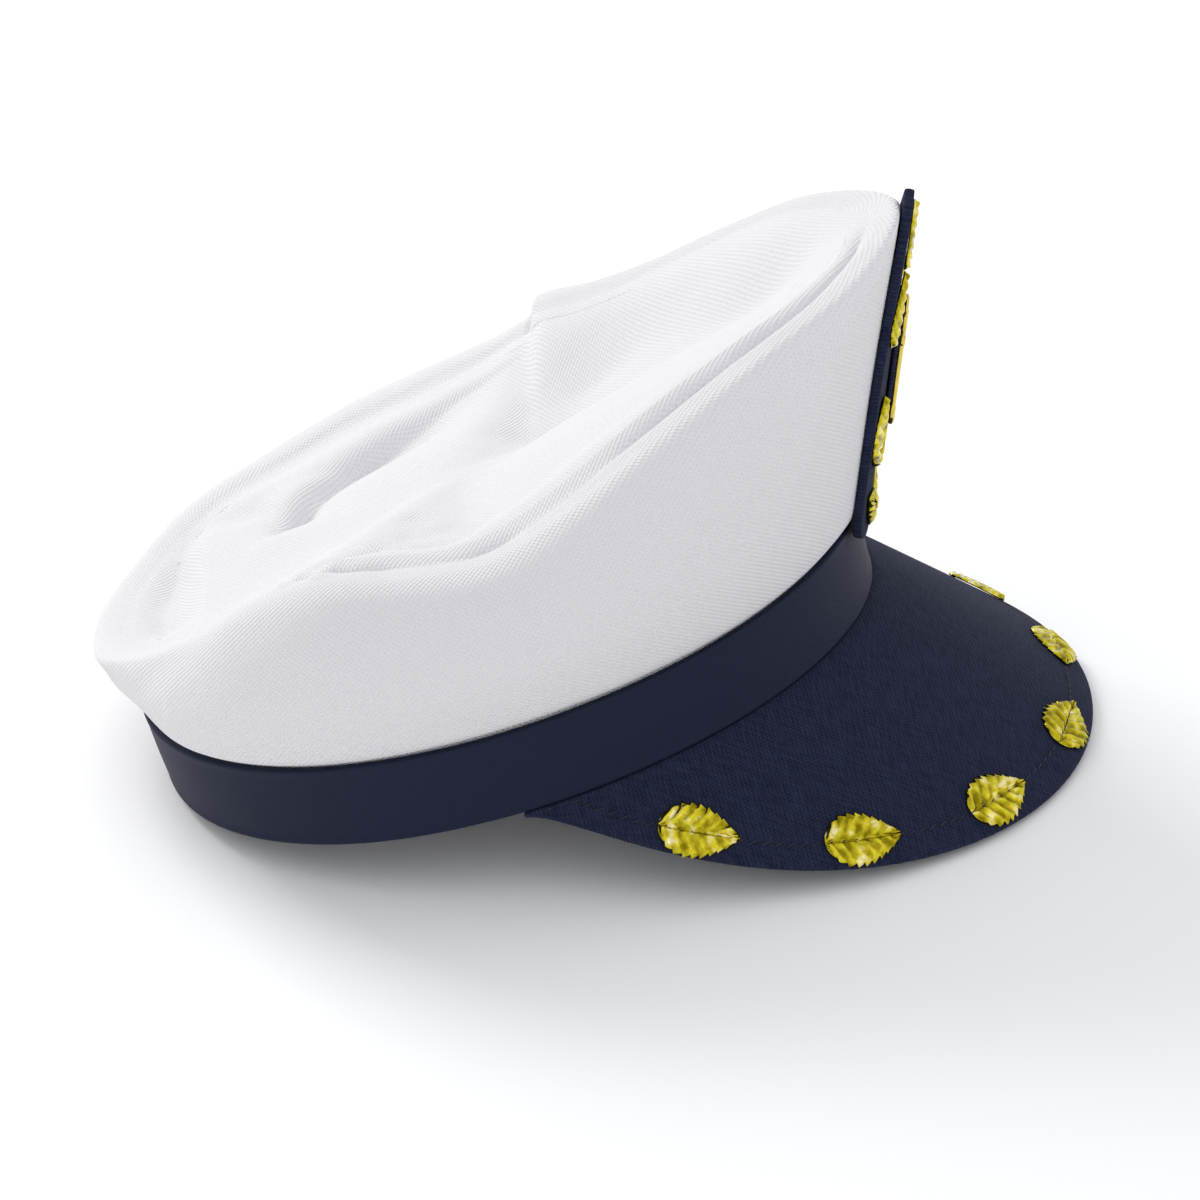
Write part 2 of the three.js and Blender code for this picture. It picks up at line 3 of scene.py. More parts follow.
import bmesh
import bpy
import numpy as np
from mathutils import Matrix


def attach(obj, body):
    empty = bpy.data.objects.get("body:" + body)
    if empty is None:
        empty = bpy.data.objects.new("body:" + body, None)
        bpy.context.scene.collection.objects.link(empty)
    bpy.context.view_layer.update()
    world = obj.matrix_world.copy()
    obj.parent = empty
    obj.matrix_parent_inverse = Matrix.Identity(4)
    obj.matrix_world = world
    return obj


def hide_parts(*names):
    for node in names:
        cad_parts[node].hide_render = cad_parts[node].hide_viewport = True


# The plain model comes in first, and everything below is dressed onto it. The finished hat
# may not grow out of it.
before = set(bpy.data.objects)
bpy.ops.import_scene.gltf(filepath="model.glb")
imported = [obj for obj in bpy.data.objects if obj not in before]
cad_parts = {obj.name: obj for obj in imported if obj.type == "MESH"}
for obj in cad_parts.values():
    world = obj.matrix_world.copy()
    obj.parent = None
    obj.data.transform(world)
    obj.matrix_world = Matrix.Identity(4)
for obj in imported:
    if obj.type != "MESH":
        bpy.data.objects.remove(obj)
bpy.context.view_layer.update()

# The camera stands to the wearer's right, a little in front and about 28 degrees up, with the
# slight lean that the picture has.
camera = bpy.data.objects.new("camera", bpy.data.cameras.new("camera"))
bpy.context.scene.collection.objects.link(camera)
camera.data.sensor_width = 36
camera.data.lens = 86.89
camera.location = (-0.68776, -0.07596, 0.40186)
camera.rotation_euler = [math.radians(a) for a in (62.0682, 3.7656, -85.9259)]
bpy.context.scene.camera = camera

# Soft studio light: a broad lamp high up behind the hat's far shoulder lights the top and the
# back, a weak one stands in front, and the white room fills the shaded near wall.
ROOM_COLOUR, ROOM_STRENGTH = (0.95, 0.97, 1.0, 1), 0.87
LAMPS_AIM_AT = (0, 0, 0.05)
bpy.context.scene.view_settings.view_transform = "Standard"
room = bpy.data.worlds.new("room")
bpy.context.scene.world = room
room.use_nodes = True
room.node_tree.nodes["Background"].inputs["Color"].default_value = ROOM_COLOUR
room.node_tree.nodes["Background"].inputs["Strength"].default_value = ROOM_STRENGTH


def lamp(name, place, size, watts, colour):
    data = bpy.data.lights.new(name, "AREA")
    data.size = size
    data.energy = watts
    data.color = colour
    light = bpy.data.objects.new(name, data)
    light.location = place
    reach = [b - a for a, b in zip(place, LAMPS_AIM_AT)]
    down = math.atan2(math.hypot(reach[0], reach[1]), -reach[2])
    light.rotation_euler = (down, 0, math.atan2(reach[1], reach[0]) - math.pi / 2)
    bpy.context.scene.collection.objects.link(light)


lamp("key", (0.75, 0.85, 0.95), 0.6, 10.5, (1, 0.98, 0.96))
lamp("front_fill", (-0.9, -1.0, 0.9), 0.9, 0.6, (1, 1, 1))


# The floor is a plain pale sheet under the hat, wide enough to run out of every picture. It is
# matt, so that only the hat's soft shadow shows on it.
def new_material(name):
    material = bpy.data.materials.new(name)
    material.use_nodes = True
    tree = material.node_tree
    shader = tree.nodes["Principled BSDF"]

    def add(kind, **settings):
        node = tree.nodes.new(kind)
        for key, value in settings.items():
            if key.startswith("in_"):
                socket = key[3:]
                node.inputs[int(socket) if socket.isdigit() else socket].default_value = value
            else:
                setattr(node, key, value)
        return node

    return material, tree, shader, add


FLOOR_WIDE, FLOOR_BELOW = 8, 0.0005
floor_material, tree, shader, add = new_material("floor")
shader.inputs["Base Color"].default_value = (0.97, 0.97, 0.97, 1)
shader.inputs["Roughness"].default_value = 0.8
bpy.ops.mesh.primitive_plane_add(size=FLOOR_WIDE, location=(0, 0, -FLOOR_BELOW))
floor = bpy.context.object
floor.name = "floor"
floor.data.materials.append(floor_material)

# The band is stiff board bent to an egg round the head, a little wider at the back, with a satin
# ribbon pulled round it and turned in over both edges, where its selvedge stands up a hair.
# Everything else is sewn to this line. Sizes are in millimetres, with the hat level on its band.
HALF_LONG, HALF_WIDE, EGG = 100, 88.3, 0.077
BAND_HIGH, BAND_THICK, BAND_ROUND = 22.3, 2.4, 591.6
GAP = 0.3
RIBBON_STEPS, RIBBON_WANDER = 300, 0.05
# The ribbon's edge-on outline: how far out from the band's line, and how high.
RIBBON_OUTLINE = np.array([
    (-2.4, 0.5), (-2.15, 0.1), (-1.6, 0), (-0.7, 0), (-0.22, 0.12), (0.0, 0.5), (0.02, 1.1), (-0.1, 1.5),
    (-0.12, 3), (-0.06, 7), (-0.04, 11), (-0.06, 15), (-0.12, 19.3), (-0.1, 20.8), (0.02, 21.2), (0, 21.8),
    (-0.22, 22.2), (-0.7, 22.3), (-1.6, 22.3), (-2.15, 22.2), (-2.4, 21.8), (-2.4, 16), (-2.4, 11), (-2.4, 6),
])
OUTER_ROWS = 20

# The hat was drawn standing level and then laid down as it lies on a table, tipped back onto the
# band and both sides of the peak. Every piece goes through this same move.
TILT = 0.2133347
SEAT = np.array([0.0478, 21.3977, 21.172])
MM = 0.001


def laid(points):
    p = np.asarray(points, float)
    c, s = math.cos(TILT), math.sin(TILT)
    x, y, z = p[..., 0], p[..., 1], p[..., 2]
    return (np.stack([x, y * c + z * s, z * c - y * s], -1) + SEAT) * MM


# Angle 0 is the front and positive angles go round by the wearer's right.
def band_line(angle, grow=0.0):
    c, s = np.cos(angle), np.sin(angle)
    return -(HALF_WIDE + grow) * (1 - EGG * c) * s, -(HALF_LONG + grow) * c


def band_radius(polar, grow=0.0):
    angle = np.array(polar, float)
    for _ in range(12):
        x, y = band_line(angle)
        off = np.arctan2(-x, -y) - polar
        angle = angle - np.arctan2(np.sin(off), np.cos(off))
    x, y = band_line(angle, grow)
    return np.hypot(x, y)


def on_rays(polar, line):
    radius, height = line[..., 0], line[..., 1]
    turn = np.broadcast_to(polar[:, None], radius.shape)
    return np.stack([-radius * np.sin(turn), -radius * np.cos(turn), height], -1)


# Cloth is made in rows and columns like a knitted tube. The grid is closed into a body, its
# joins are welded, and the thread directions go along as a map in millimetres. Where the cloth
# changes direction at a seam, that column takes the other cloth's map on its far side.
def body_from(name, grid, material, threads, ring=False, caps=False, seam=None, past_seam=None):
    rows, columns = grid.shape[:2]
    points = laid(grid).reshape(-1, 3)
    a, b = np.meshgrid(np.arange(rows if ring else rows - 1), np.arange(columns), indexing="ij")
    a2, b2 = (a + 1) % rows, (b + 1) % columns
    faces = np.stack([a * columns + b, a2 * columns + b, a2 * columns + b2, a * columns + b2], -1)
    faces = faces.reshape(-1, 4).tolist()
    maps = np.stack([threads[a, b], threads[a + 1, b], threads[a + 1, b + 1], threads[a, b + 1]], -2)
    if seam is not None:
        back = columns - 2 - seam
        maps[:, seam, 0], maps[:, seam, 1] = past_seam[:-1, seam], past_seam[1:, seam]
        maps[:, back, 3], maps[:, back, 2] = past_seam[:-1, seam], past_seam[1:, seam]
    maps = maps.reshape(-1, 2)
    if caps:
        for row in (0, rows - 1):
            for k in range(columns // 2 - 1):
                mate = columns - 1 - k
                corners = (k, k + 1, mate - 1, mate)
                faces.append([row * columns + v for v in corners])
                maps = np.concatenate([maps, [threads[row, v] for v in corners]])
    mesh = bpy.data.meshes.new(name)
    mesh.from_pydata(points.tolist(), [], faces)
    layer = mesh.uv_layers.new(name="threads")
    layer.data.foreach_set("uv", np.asarray(maps, np.float32).ravel())
    work = bmesh.new()
    work.from_mesh(mesh)
    bmesh.ops.remove_doubles(work, verts=work.verts, dist=2e-6)
    bmesh.ops.recalc_face_normals(work, faces=work.faces)
    for face in work.faces:
        face.smooth = True
    work.to_mesh(mesh)
    work.free()
    mesh.materials.append(material)
    piece = bpy.data.objects.new(name, mesh)
    bpy.context.scene.collection.objects.link(piece)
    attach(piece, "root")
    return piece


# Woven cloth: threads over and under each other both ways, with slubs where a thread runs thick.
# pitch is the threads' spacing each way and relief their height, in millimetres. A twill's rows
# lean, and slubs is the share of the lighter colour in the thinnest and the thickest thread.
def woven(name, colour, shade, pitch, relief, roughness, twill=0.0, sheen=0.2, gloss=0.4, slubs=(0.4, 0.6)):
    material, tree, shader, add = new_material(name)
    link = tree.links.new
    place = add("ShaderNodeUVMap", uv_map="threads")
    split = add("ShaderNodeSeparateXYZ")
    link(place.outputs[0], split.inputs[0])

    def wave(axis, spacing, lean=0.0):
        angle = add("ShaderNodeMath", operation="MULTIPLY", in_1=math.pi / spacing)
        link(split.outputs[axis], angle.inputs[0])
        if lean:
            straight = angle
            side = add("ShaderNodeMath", operation="MULTIPLY", in_1=lean * math.pi / spacing)
            link(split.outputs[1 - axis], side.inputs[0])
            angle = add("ShaderNodeMath", operation="ADD")
            link(straight.outputs[0], angle.inputs[0])
            link(side.outputs[0], angle.inputs[1])
        sine = add("ShaderNodeMath", operation="SINE")
        link(angle.outputs[0], sine.inputs[0])
        return sine

    def slub_noise(stretch):
        long = add("ShaderNodeMapping", in_Scale=stretch)
        link(place.outputs[0], long.inputs[0])
        noise = add("ShaderNodeTexNoise", in_Scale=0.55, in_Detail=2.0)
        link(long.outputs[0], noise.inputs["Vector"])
        return noise

    warp = wave(0, pitch[0])
    weft = wave(1, pitch[1], lean=twill)
    over = add("ShaderNodeMath", operation="MULTIPLY")
    link(warp.outputs[0], over.inputs[0])
    link(weft.outputs[0], over.inputs[1])
    both = add("ShaderNodeMath", operation="ADD")
    link(slub_noise((0.35, 3.2, 1)).outputs[0], both.inputs[0])
    link(slub_noise((3.2, 0.35, 1)).outputs[0], both.inputs[1])
    tone = add("ShaderNodeMapRange", in_1=0.7, in_2=1.3, in_3=slubs[0], in_4=slubs[1])
    link(both.outputs[0], tone.inputs[0])
    cell = add("ShaderNodeMapRange", in_1=-1.0, in_2=1.0, in_3=-0.3, in_4=0.3)
    link(over.outputs[0], cell.inputs[0])
    share = add("ShaderNodeMath", operation="ADD", use_clamp=True)
    link(tone.outputs[0], share.inputs[0])
    link(cell.outputs[0], share.inputs[1])
    mixed = add("ShaderNodeMix", data_type="RGBA", in_6=(*shade, 1), in_7=(*colour, 1))
    link(share.outputs[0], mixed.inputs[0])
    link(mixed.outputs[2], shader.inputs["Base Color"])
    faint = add("ShaderNodeMath", operation="MULTIPLY", in_1=0.12)
    link(both.outputs[0], faint.inputs[0])
    height = add("ShaderNodeMath", operation="MULTIPLY_ADD", in_1=0.5)
    link(over.outputs[0], height.inputs[0])
    link(faint.outputs[0], height.inputs[2])
    bump = add("ShaderNodeBump", in_Strength=1.0, in_Distance=relief * MM)
    link(height.outputs[0], bump.inputs["Height"])
    link(bump.outputs[0], shader.inputs["Normal"])
    shader.inputs["Roughness"].default_value = roughness
    shader.inputs["Specular IOR Level"].default_value = gloss
    shader.inputs["Sheen Weight"].default_value = sheen
    shader.inputs["Sheen Roughness"].default_value = 0.5
    return material


navy_satin = woven(
    "navy_satin", (0.012, 0.017, 0.042), (0.008, 0.011, 0.028), pitch=(0.5, 0.35), relief=0.03,
    roughness=0.55, sheen=0.0, gloss=0.13,
)
polar = -np.arange(RIBBON_STEPS) / RIBBON_STEPS * 2 * math.pi
columns = []
for k, (grow, z) in enumerate(RIBBON_OUTLINE):
    wander = RIBBON_WANDER * np.sin(11 * polar + z / 5) * (0 < k < OUTER_ROWS)
    columns.append(np.stack([band_radius(polar, grow) + wander, np.full(RIBBON_STEPS, z)], -1))
grid = on_rays(polar, np.stack(columns, 1))
steps = np.diff(np.concatenate([RIBBON_OUTLINE, RIBBON_OUTLINE[:1]]), axis=0)
across = np.concatenate([[0], np.hypot(*steps.T).cumsum()])
around = np.arange(RIBBON_STEPS + 1) / RIBBON_STEPS * BAND_ROUND
threads = np.stack(np.meshgrid(around, across, indexing="ij"), -1)
ribbon = body_from("band_ribbon", grid, navy_satin, threads, ring=True)
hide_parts("band")

# The crown is one run of white cloth: its hem is held inside the band, it goes up the wall, over
# the rim in a soft roll, across the seam, and in to the middle, where it sinks into a long valley.
# The seam shows on the near side only, and most where it is pinched.
CLOTH = 1.5
LIP_HIGH, SEAM_INSIDE, MIDDLE_HIGH = 4, 10, 55
RAYS, INWARD = 320, 58
# The rim every 15 degrees from the front round by the wearer's right: how far out and how high it
# is, how the wall swells, how far it hangs over the band, and how far down it is to the seam.
RIM = np.array([
    [131, 99.5, 5.5, 3, 2.6], [123.5, 94.5, 5, 1.8, 1.7], [106.5, 87.5, 5, 1.2, 1.5],
    [94, 79, 6, 1.3, 1.5], [86, 70, 6.5, 1.3, 1.5], [82, 64, 7, 1.3, 1.6],
    [82, 66, 7, 1.3, 2], [83, 69, 7, 1.3, 2.8], [84.5, 65, 7, 1.3, 3],
    [88, 55, 5, 0.8, 2.5], [96, 46, 2, -0.8, 2.5], [104, 40, 2.5, -1.6, 2.5],
    [107.5, 38.5, 4, -1.6, 2.5], [107.5, 39, 5, -1.2, 2.5], [103.5, 43, 6.5, 0.6, 3],
    [96.5, 45.5, 7, 1.2, 3.5], [89, 50.5, 7, 1.3, 4], [82, 55, 7, 1.3, 4],
    [78.5, 60.5, 7, 1.3, 4], [77.5, 69, 7, 1.3, 4], [78.5, 73.5, 7, 1.3, 4],
    [86, 79, 6, 1.3, 3.5], [98.5, 87.5, 5, 1.2, 3.5], [115, 96.5, 3.5, 0.8, 3.5],
])
# Pinches in the seam: direction in degrees, how wide, and how much deeper the cloth dips there.
PINCHES = [(10, 3.5, 1.6), (16.5, 3, 1.4), (24, 4, 1.8), (36, 5, 1.6), (44, 4, 0.9), (74, 5, 0.9),
           (98, 4, 1.0), (106, 2.6, 3.4), (114.5, 2.4, 3.0)]
# Folds in the top: the points a fold runs through, its depth, how fast it dies away on its right
# and left, how round its bottom is and how its ends fade. A negative depth is a swell.
FOLDS = [
    ([(2, -118), (22, -22)], 12, 44, 24, 1.6, 26),
    ([(50, 18), (44, 62)], 4, 16, 7, 1.5, 16),
    ([(-54, 26), (-57, -6)], 4, 6, 9, 2, 12),
    ([(58, -14), (57, 5), (53, 24), (47, 38), (37, 48), (24, 54)], 8.5, 3, 17, 0.7, 14),
    ([(24, 54), (33, 64), (38, 76), (40, 98)], 4, 3.2, 6, 0.8, 9),
    ([(-50, 25), (-51, 12)], 2.4, 2.2, 2.2, 0.6, 3),
    ([(-46, 4), (-36, 6)], 1.6, 3, 3, 0.8, 5),
    ([(-43, -4), (-49, -14)], 1.0, 3, 3, 0.8, 6),
    ([(64, -4), (60, 24), (49, 56)], -2.6, 12, 8, 6, 14),
    ([(30, 95), (52, 78)], -3, 12, 10, 6, 14),
]
# Sharp creases from flat packing: a line's two ends, how steeply the cloth falls away beyond it
# (on its right where that is negative), how far out that reaches, and how the ends fade.
CREASES = [((41, 86), (-13, 74), -0.62, 15, 14), ((52, -19.5), (18, -17), 0.12, 20, 14)]
# One more packing crease runs in from the far rim: in front of it the cloth stands a step higher.
STEP_AT_Y, STEP_HIGH, STEP_ROUND, STEP_FADE = -18.5, 2.3, 0.9, 17
# The stiff board in front, which the cloth lies against: the middle of its foot, its lean and
# bend, its thickness, and the room it leaves the cloth.
BOARD_FOOT_Y, BOARD_FOOT_Z, BOARD_LEAN, BOARD_BEND, BOARD_THICK = -102.6, 16.3, 0.3595, 65, 2.2
BOARD_EASE = 1.25


def smooth(t):
    t = np.clip(t, 0, 1)
    return t * t * (3 - 2 * t)


def part_round(polar, start, rise, stop, fall):
    around = np.degrees(polar) % 360
    return smooth((around - start) / rise) * smooth((stop - around) / fall)


def curve(a, b, c, d, t):
    """The smooth curve from b to c, where a comes before and d after."""
    return (b + 0.5 * (c - a) * t + (a - 2.5 * b + 2 * c - 0.5 * d) * t**2
            + (0.5 * (d - a) + 1.5 * (b - c)) * t**3)


def rim_at(polar):
    turns = (np.degrees(polar) * len(RIM) / 360) % len(RIM)
    i = np.floor(turns).astype(int)
    return curve(*(RIM[(i + k) % len(RIM)] for k in (-1, 0, 1, 2)), (turns - i)[..., None])


def pinch_at(polar):
    around = np.degrees(polar) % 360
    deep = np.zeros_like(around)
    for centre, wide, depth in PINCHES:
        away = (around - centre + 180) % 360 - 180
        deep += depth * np.exp(-((away / wide) ** 2))
    return deep


# Cloth is never quite flat: slow swells all over, in millimetres, the same on every run.
def slack(polar, up, size):
    return size * (
        np.sin(5 * polar + 3.1 * up + 0.7) * 0.5 + np.sin(9 * polar - 5.3 * up + 2.1) * 0.3
        + np.sin(17 * polar + 7.7 * up + 4.4) * 0.2
    )


def along_and_across(x, y, start, end):
    length = math.dist(start, end)
    ux, uy = (end[0] - start[0]) / length, (end[1] - start[1]) / length
    dx, dy = x - start[0], y - start[1]
    return dx * ux + dy * uy, -dx * uy + dy * ux, length


def top_drop(x, y):
    total = np.zeros_like(x)
    for points, depth, right, left, soft, fade in FOLDS:
        away, across, along, passed = np.full_like(total, 1e9), 0 * total, 0 * total, 0.0
        last = len(points) - 2
        for k, ends in enumerate(zip(points, points[1:])):
            ahead, side, length = along_and_across(x, y, *ends)
            low, high = (-1e9 if k == 0 else 0), (1e9 if k == last else length)
            miss = np.hypot(side, ahead - np.clip(ahead, low, high))
            nearer = miss < away
            away = np.where(nearer, miss, away)
            across = np.where(nearer, np.sign(side) * miss, across)
            along = np.where(nearer, passed + ahead, along)
            passed += length
        shows = smooth((along + fade) / fade) * smooth((passed + fade - along) / fade)
        reach = np.where(across > 0, left, right)
        total += depth * shows * np.exp(-(np.hypot(across, soft) - soft) / reach)
    for start, end, bend, reach, fade in CREASES:
        along, across, length = along_and_across(x, y, start, end)
        shows = smooth((along + fade) / fade) * smooth((length + fade - along) / fade)
        beyond = (np.hypot(across, 0.4) + np.sign(bend) * across) / 2
        total += abs(bend) * shows * beyond * np.exp(-((across / reach) ** 2))
    return total


def packing_step(x, y):
    front = STEP_AT_Y - y
    rise = STEP_HIGH * np.tanh(front / STEP_ROUND) * np.exp(-((front / STEP_FADE) ** 2))
    return rise * smooth((x - 12) / 46)


def behind_board(polar, height):
    level = BOARD_THICK / math.cos(BOARD_LEAN) + (GAP + CLOTH / 2) * BOARD_EASE
    back = -BOARD_FOOT_Y + (height - BOARD_FOOT_Z) * math.tan(BOARD_LEAN) - level
    ahead = np.cos(polar)[:, None]
    bend = np.sin(polar)[:, None] ** 2 / (2 * BOARD_BEND)
    root = np.sqrt(np.maximum(ahead**2 + 4 * bend * back, 0))
    return np.where(ahead > 0.2, 2 * back / np.maximum(ahead + root, 1e-6), 1e9)


# The wall from the hem up over the rim to just past the seam. Each ray's line is a smooth curve
# through knots, with so many steps from each knot to the next.
WALL_STEPS = [2, 2, 3, 6, 9, 8, 6, 6, 7, 12, 6]


def wall_lines(polar, seam):
    radius, height, swell, lip, drop = rim_at(polar).T
    outside = band_radius(polar)
    hem = outside - BAND_THICK - GAP - CLOTH / 2
    foot = np.stack([outside + lip, np.full_like(lip, BAND_HIGH + LIP_HIGH)], -1)
    lean = np.stack([radius, height], -1) - foot
    out = np.stack([lean[:, 1], -lean[:, 0]], -1) / np.hypot(lean[:, 0], lean[:, 1])[:, None]
    lobe = part_round(polar, 146, 22, 236, 30)

    def wall(up, share):
        return foot + lean * up + out * (swell * share)[:, None]

    def at(x, z):
        return np.stack([x + 0 * hem, z + 0 * hem], -1)

    seam_x, seam_z = seam.T
    knots = np.stack([
        at(hem, BAND_HIGH - 9), at(hem, BAND_HIGH - 1.2), at(hem + 0.6, BAND_HIGH + 2), foot,
        wall(0.3, 0.82 + 0.55 * lobe), wall(0.62, 0.9 + 0.4 * lobe), wall(0.88, 0.45 + 0.35 * lobe),
        at(radius - 0.8, height - 0.8), at(radius - 5.5, height - 0.3 - drop * 0.25),
        at(seam_x + 1.2, seam_z + 0.45), at(seam_x - 1.2, seam_z + 0.55), at(seam_x - 4, seam_z + 0.9),
    ], 1)
    ends = [2 * knots[:, :1] - knots[:, 1:2], 2 * knots[:, -1:] - knots[:, -2:-1]]
    p = np.concatenate([ends[0], knots, ends[1]], 1)
    line = []
    for k, n in enumerate(WALL_STEPS):
        line += [curve(*(p[:, k + m] for m in range(4)), t) for t in np.arange(n) / n]
    line = np.stack([*line, knots[:, -1]], 1)
    line[..., 0] = np.minimum(line[..., 0], behind_board(polar, line[..., 1]))
    return line


def top_lines(polar, seam, inward):
    power = 1.08 - 0.4 * np.clip(-np.sin(polar) * 1.6, 0, 1)
    rows = []
    for t in inward:
        level = (seam[:, 1] + 0.9) * (1 - t**power) + MIDDLE_HIGH * t**power
        sway = slack(polar, 2.2 * t, 0.5) * math.sin(math.pi * min(t * 1.6, 1)) * (1 - t)
        rows.append(np.stack([(seam[:, 0] - 4) * (1 - t), level + sway], -1))
    return np.stack(rows, 1)


# Away from the near side the cloth runs smoothly from the rim into the top.
def ease_over_seam(line, start, stop, keep):
    before, a, after = (line[:, start + k] for k in (-1, 0, 1))
    b, ahead = line[:, stop], line[:, stop + 2]
    span = (a[:, 0] - b[:, 0])[:, None]
    t = (a[:, :1] - line[:, start:stop, 0]) / span
    slope_a = ((after[:, 1] - before[:, 1]) / (before[:, 0] - after[:, 0]))[:, None] * span
    slope_b = ((ahead[:, 1] - b[:, 1]) / (b[:, 0] - ahead[:, 0]))[:, None] * span
    eased = ((2 * t**3 - 3 * t**2 + 1) * a[:, 1:] + (t**3 - 2 * t**2 + t) * slope_a
             + (3 * t**2 - 2 * t**3) * b[:, 1:] + (t**3 - t**2) * slope_b)
    line[:, start:stop, 1] = line[:, start:stop, 1] * keep + eased * (1 - keep)


# In the middle the ripples round the centre die out, so that the cloth lies smoothly there.
def calm_middle(line, edge, rays):
    waves = np.fft.rfft(line[:, edge:, 1], axis=0)
    apart = line[:, edge:, 0].mean(0)
    turns = np.arange(len(waves))[:, None]
    waves *= np.where(turns < 2, 1, smooth(apart / (4.5 * np.maximum(turns, 1))))
    bowl = smooth(apart / 26)
    waves[0] = waves[0] * bowl + waves[0][np.argmin(np.abs(apart - 13))] * (1 - bowl)
    line[:, edge:, 1] = np.fft.irfft(waves, rays, axis=0)


def crown_lines(polar, inward):
    radius, height, _, _, drop = rim_at(polar).T
    seam = np.stack([radius - SEAM_INSIDE, height - drop], -1)
    line = wall_lines(polar, seam)
    edge = line.shape[1] - 1
    line = np.concatenate([line, top_lines(polar, seam, inward[1:])], 1)
    rim_roll = edge - 24
    near = part_round(polar, 1, 7, 128, 14)
    ease_over_seam(line, rim_roll, edge + 17, near[:, None])

    column = np.arange(line.shape[1])
    from_seam = line[..., 0] - seam[:, :1]
    x, y, _ = np.moveaxis(on_rays(polar, line), -1, 0)
    back = part_round(polar, 124, 16, 222, 24)
    run_in = (9 + 24 * (1 - near) * (1 - back))[:, None]
    line[..., 1] -= top_drop(x, y) * smooth((1 - from_seam) / run_in) * (column > rim_roll)

    # Beside the near seam the top cloth puffs up a little.
    puffed = (near * smooth((112 - np.degrees(polar) % 360) / 20))[:, None]
    line[..., 1] += 2.3 * puffed * np.exp(-(((from_seam + 8.5) / 6.5) ** 2)) * (column > rim_roll)
    near_top = line[..., 1] > (height - drop - 3)[:, None]
    risen = smooth((line[..., 1] - (height - 14)[:, None]) / 12)
    line[..., 1] += packing_step(x, y) * np.maximum(risen, column > edge)

    pinch = pinch_at(polar)[:, None]
    pulled = (0.5 * near * (0.75 + 0.25 * np.sin(9 * polar + 1.3)))[:, None]
    dip = pulled * np.exp(-((from_seam / 1.6) ** 2)) + 1.3 * pinch * np.exp(-((from_seam / 1.15) ** 2))
    beside_it = 0.35 * pinch * np.exp(-(((np.abs(from_seam) - 4.2) / 2.2) ** 2))
    line[..., 1] -= (dip - beside_it) * near_top * (column > sum(WALL_STEPS[:6]))
    calm_middle(line, edge, len(polar))
    return line, edge


polar = -np.arange(RAYS) / RAYS * 2 * math.pi
line, edge = crown_lines(polar, 1 - np.cos(np.arange(INWARD) / INWARD * math.pi / 2))
share = np.linspace(0, 1, edge + 1)
free = smooth((share - 0.2) / 0.2) * smooth((0.93 - share) / 0.2)
away_from_board = 1 - np.exp(-((np.sin(polar / 2) / 0.22) ** 4))
line[:, : edge + 1, 0] += slack(polar[:, None], 3 * share, 0.55) * free * away_from_board[:, None]
middle = float(line[:, -1, 1].mean())
line = np.concatenate([line, np.broadcast_to(np.array([0.0, middle]), (RAYS, 1, 2))], 1)

# The cloth's two faces lie half its thickness to each side of that line.
run = np.concatenate([line[:, 1:], line[:, -1:]], 1) - np.concatenate([line[:, :1], line[:, :-1]], 1)
run /= np.maximum(np.hypot(run[..., 0], run[..., 1]), 1e-9)[..., None]
skins = []
for side in (CLOTH / 2, -CLOTH / 2):
    skin = line + np.stack([run[..., 1], -run[..., 0]], -1) * side
    skin[:, -1] = (0, middle + side)
    skins.append(on_rays(polar, skin))
grid = np.concatenate([skins[0], skins[1][:, ::-1]], 1)

# On the wall the threads run round the head and up; past the seam the top's own threads run
# front to back and across.
steps = np.hypot(*np.moveaxis(np.diff(line, axis=1), -1, 0))
up_wall = np.concatenate([np.zeros((RAYS, 1)), steps.cumsum(1)], 1)
around = np.broadcast_to(np.arange(RAYS)[:, None] / RAYS * BAND_ROUND, up_wall.shape)
wall_map = np.stack([around, up_wall], -1)
wall_map = np.concatenate([wall_map, wall_map[:1] + np.array([BAND_ROUND, 0])], 0)
top_map = np.concatenate([skins[0][..., :2], skins[0][:1, :, :2]], 0)
seam_column = edge - WALL_STEPS[-1] - WALL_STEPS[-2] // 2 - 1
on_top = np.arange(line.shape[1]) > seam_column
half_map = np.where(on_top[None, :, None], top_map, wall_map)
threads = np.concatenate([half_map, half_map[:, ::-1], half_map[:, :1]], 1)
white_cloth = woven(
    "white_cloth", (0.84, 0.83, 0.84), (0.74, 0.72, 0.75), pitch=(0.8, 0.62), relief=0.3, roughness=0.92,
)
crown = body_from("crown_cloth", grid, white_cloth, threads, ring=True, seam=seam_column, past_seam=top_map)
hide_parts("crown_side", "crown_top")

# The peak is cut from a cone and sewn in under the front of the band. Its cloth is drawn round a
# stiff core, so the free edge is round and both the top and the underside are covered. It grows
# thin and narrow towards its two ends.
PEAK_REACH, PEAK_WIDE, PEAK_TAPER, PEAK_CLOSE, PEAK_THICK = 1.46, 70, 2.52, 1.46, 2.2
PEAK_END, PEAK_THIN, PEAK_TUCK, PEAK_UNDER = 0.8, 0.45, 2.1, 0.36
APEX = np.array([0, -11.4, 91.9])
ALONG_PEAK, ACROSS_PEAK, EDGE_TURNS = 240, 22, 8
navy_twill = woven(
    "navy_twill", (0.027, 0.032, 0.068), (0.007, 0.009, 0.026), pitch=(0.6, 0.5), relief=0.12,
    roughness=0.85, twill=0.6, sheen=0.03, gloss=0.1, slubs=(0.1, 0.75),
)


